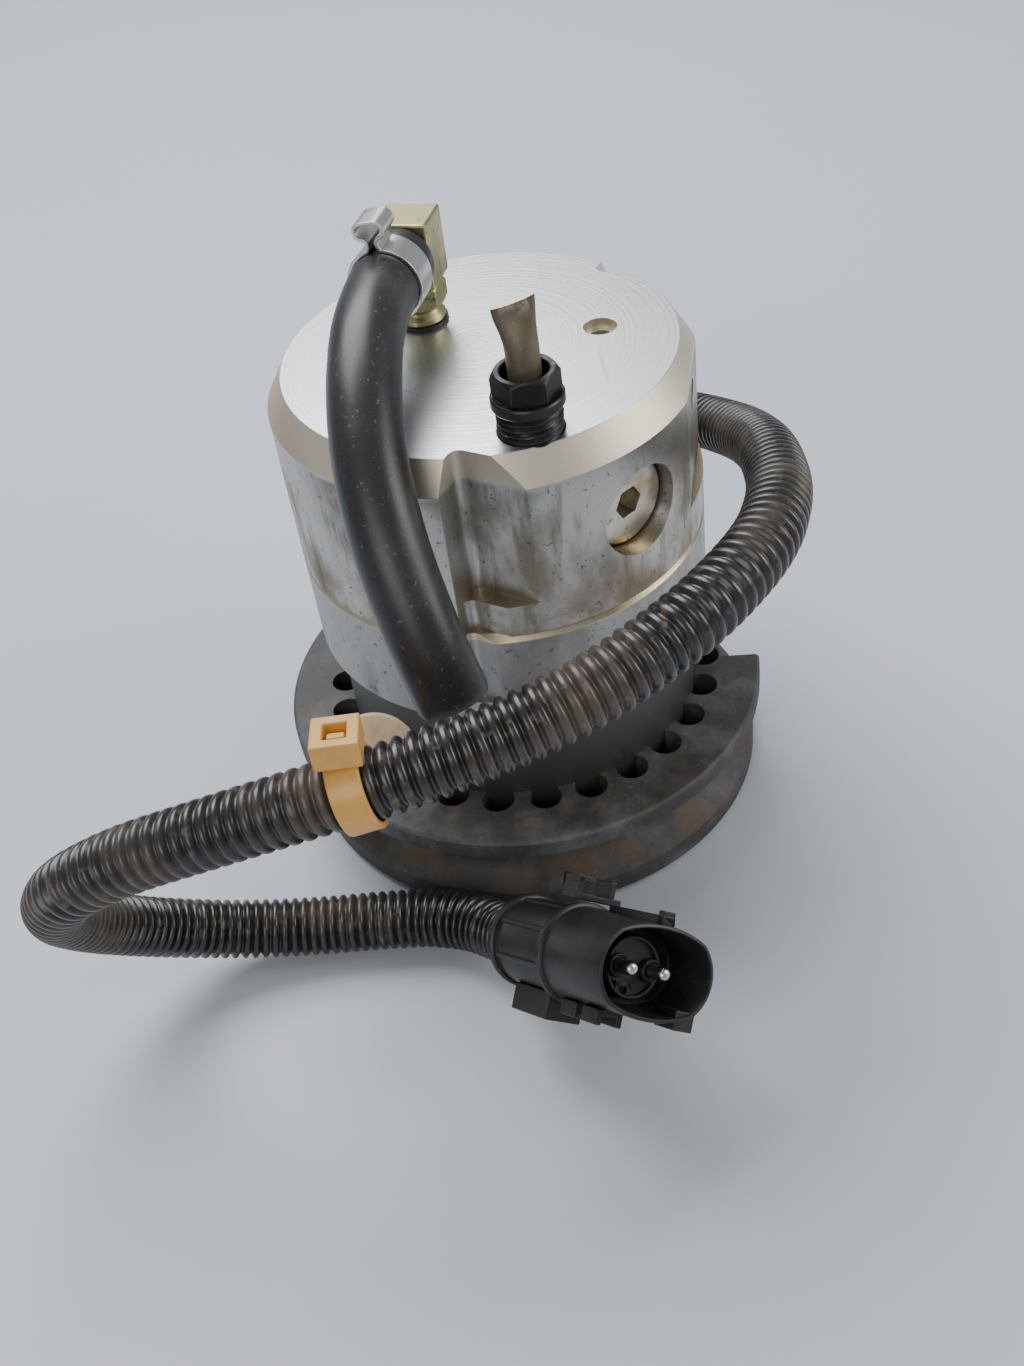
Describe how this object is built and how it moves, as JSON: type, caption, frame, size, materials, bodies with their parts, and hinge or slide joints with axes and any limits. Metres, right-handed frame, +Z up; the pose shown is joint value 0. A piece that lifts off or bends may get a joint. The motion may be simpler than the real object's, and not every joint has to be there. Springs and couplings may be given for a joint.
{
  "type": "electric hydraulic pump",
  "caption": "Cylindrical electric gear pump: aluminium head on a steel motor can in a rubber isolator ring, with suction hose, cut pipe stub and corrugated cable to a sealed connector",
  "frame": {"origin": "centre of the motor can's bottom face", "axes": "+Z up along the motor axis, -Y towards the viewer and the connector, +X right"},
  "size_m": [0.1676, 0.1786, 0.1435],
  "materials": {
    "machined_aluminium": "turned top face and milled flats, dulled and stained brown on the walls",
    "cast_aluminium": "dull grey housing with a bright chamfer and light brown soiling",
    "zinc_steel": "dark zinc-grey drawn steel",
    "steel": "ground steel",
    "stainless": "bright stainless band",
    "black_steel": "black-coated steel",
    "yellow_zinc": "yellow passivated steel",
    "coated_pipe": "olive brown coated steel pipe, bright where it is cut",
    "ring_rubber": "dark grey moulded rubber, dusty, with brown soil in the groove",
    "hose_rubber": "smooth black hose",
    "seal_rubber": "black sealing rubber",
    "conduit_plastic": "glossy black corrugated nylon with brown dust",
    "connector_plastic": "dark brown-black moulded plastic",
    "tie_plastic": "aged amber nylon",
    "foot_plastic": "tan nylon",
    "board_plastic": "brown laminate",
    "lead_plastic": "wire insulation",
    "copper": "bare and enamelled copper",
    "brass": "turned brass",
    "magnet": "grey ferrite",
    "carbon": "pressed carbon"
  },
  "bodies": {
    "pump": {"pump_head": "machined_aluminium", "lower_housing": "cast_aluminium", "motor_can": "zinc_steel", "isolator_ring": "ring_rubber", "joint_seal": "seal_rubber", "joint_screws": "steel", "side_plug": "steel", "bleed_plug": "steel", "tube_nut": "black_steel", "pipe_stub": "coated_pipe", "valve_seat": "brass", "check_spring": "steel", "elbow_fitting": "yellow_zinc", "elbow_washer": "seal_rubber", "hose": "hose_rubber", "hose_clamp": "stainless", "conduit_gland": "connector_plastic", "conduit": "conduit_plastic", "cable_tie": "tie_plastic", "tie_foot": "foot_plastic", "connector_backshell": "connector_plastic", "connector_shell": "connector_plastic", "connector_latch": "connector_plastic", "connector_insert": "connector_plastic", "connector_pins": "steel", "magnets": "magnet", "rear_bush": "brass", "bearing_outer_race": "steel", "bearing_balls": "steel", "shaft_seal": "seal_rubber", "lower_bearing_block": "brass", "upper_bearing_block": "brass", "brush_plate": "board_plastic", "brush_holders": "brass", "brush_spring_right": "steel", "brush_spring_left": "steel", "motor_leads": "lead_plastic"},
    "rotor": {"motor_shaft": "steel", "armature_core": "steel", "armature_windings": "copper", "commutator": "copper", "drive_gear": "steel", "bearing_inner_race": "steel"},
    "idler": {"driven_gear": "steel", "idler_shaft": "steel"},
    "valve_ball": {"check_ball": "steel"},
    "right_brush": {"brush_right": "carbon"},
    "left_brush": {"brush_left": "carbon"}
  },
  "joints": [
    {"name": "rotor_spin", "type": "hinge", "parent": "pump", "child": "rotor", "pos_m": [0, 0, 0.05], "axis": [0, 0, 1], "continuous": true},
    {"name": "idler_spin", "type": "hinge", "parent": "pump", "child": "idler", "pos_m": [-0.0192, 0, 0.084], "axis": [0, 0, 1], "continuous": true},
    {"name": "check_lift", "type": "slide", "parent": "pump", "child": "valve_ball", "axis": [0, 0, 1], "range_m": [0, 0.002], "stiffness_N_per_m": 300, "springref_m": -0.003, "deforming": ["check_spring"]},
    {"name": "right_brush_slide", "type": "slide", "parent": "pump", "child": "right_brush", "axis": [1, 0, 0], "range_m": [0, 0.003], "stiffness_N_per_m": 150, "springref_m": -0.008, "deforming": ["brush_spring_right"]},
    {"name": "left_brush_slide", "type": "slide", "parent": "pump", "child": "left_brush", "axis": [-1, 0, 0], "range_m": [0, 0.003], "stiffness_N_per_m": 150, "springref_m": -0.008, "deforming": ["brush_spring_left"]}
  ],
  "couplings": [
    {"joint": "idler_spin", "follows": "rotor_spin", "ratio": -1}
  ]
}
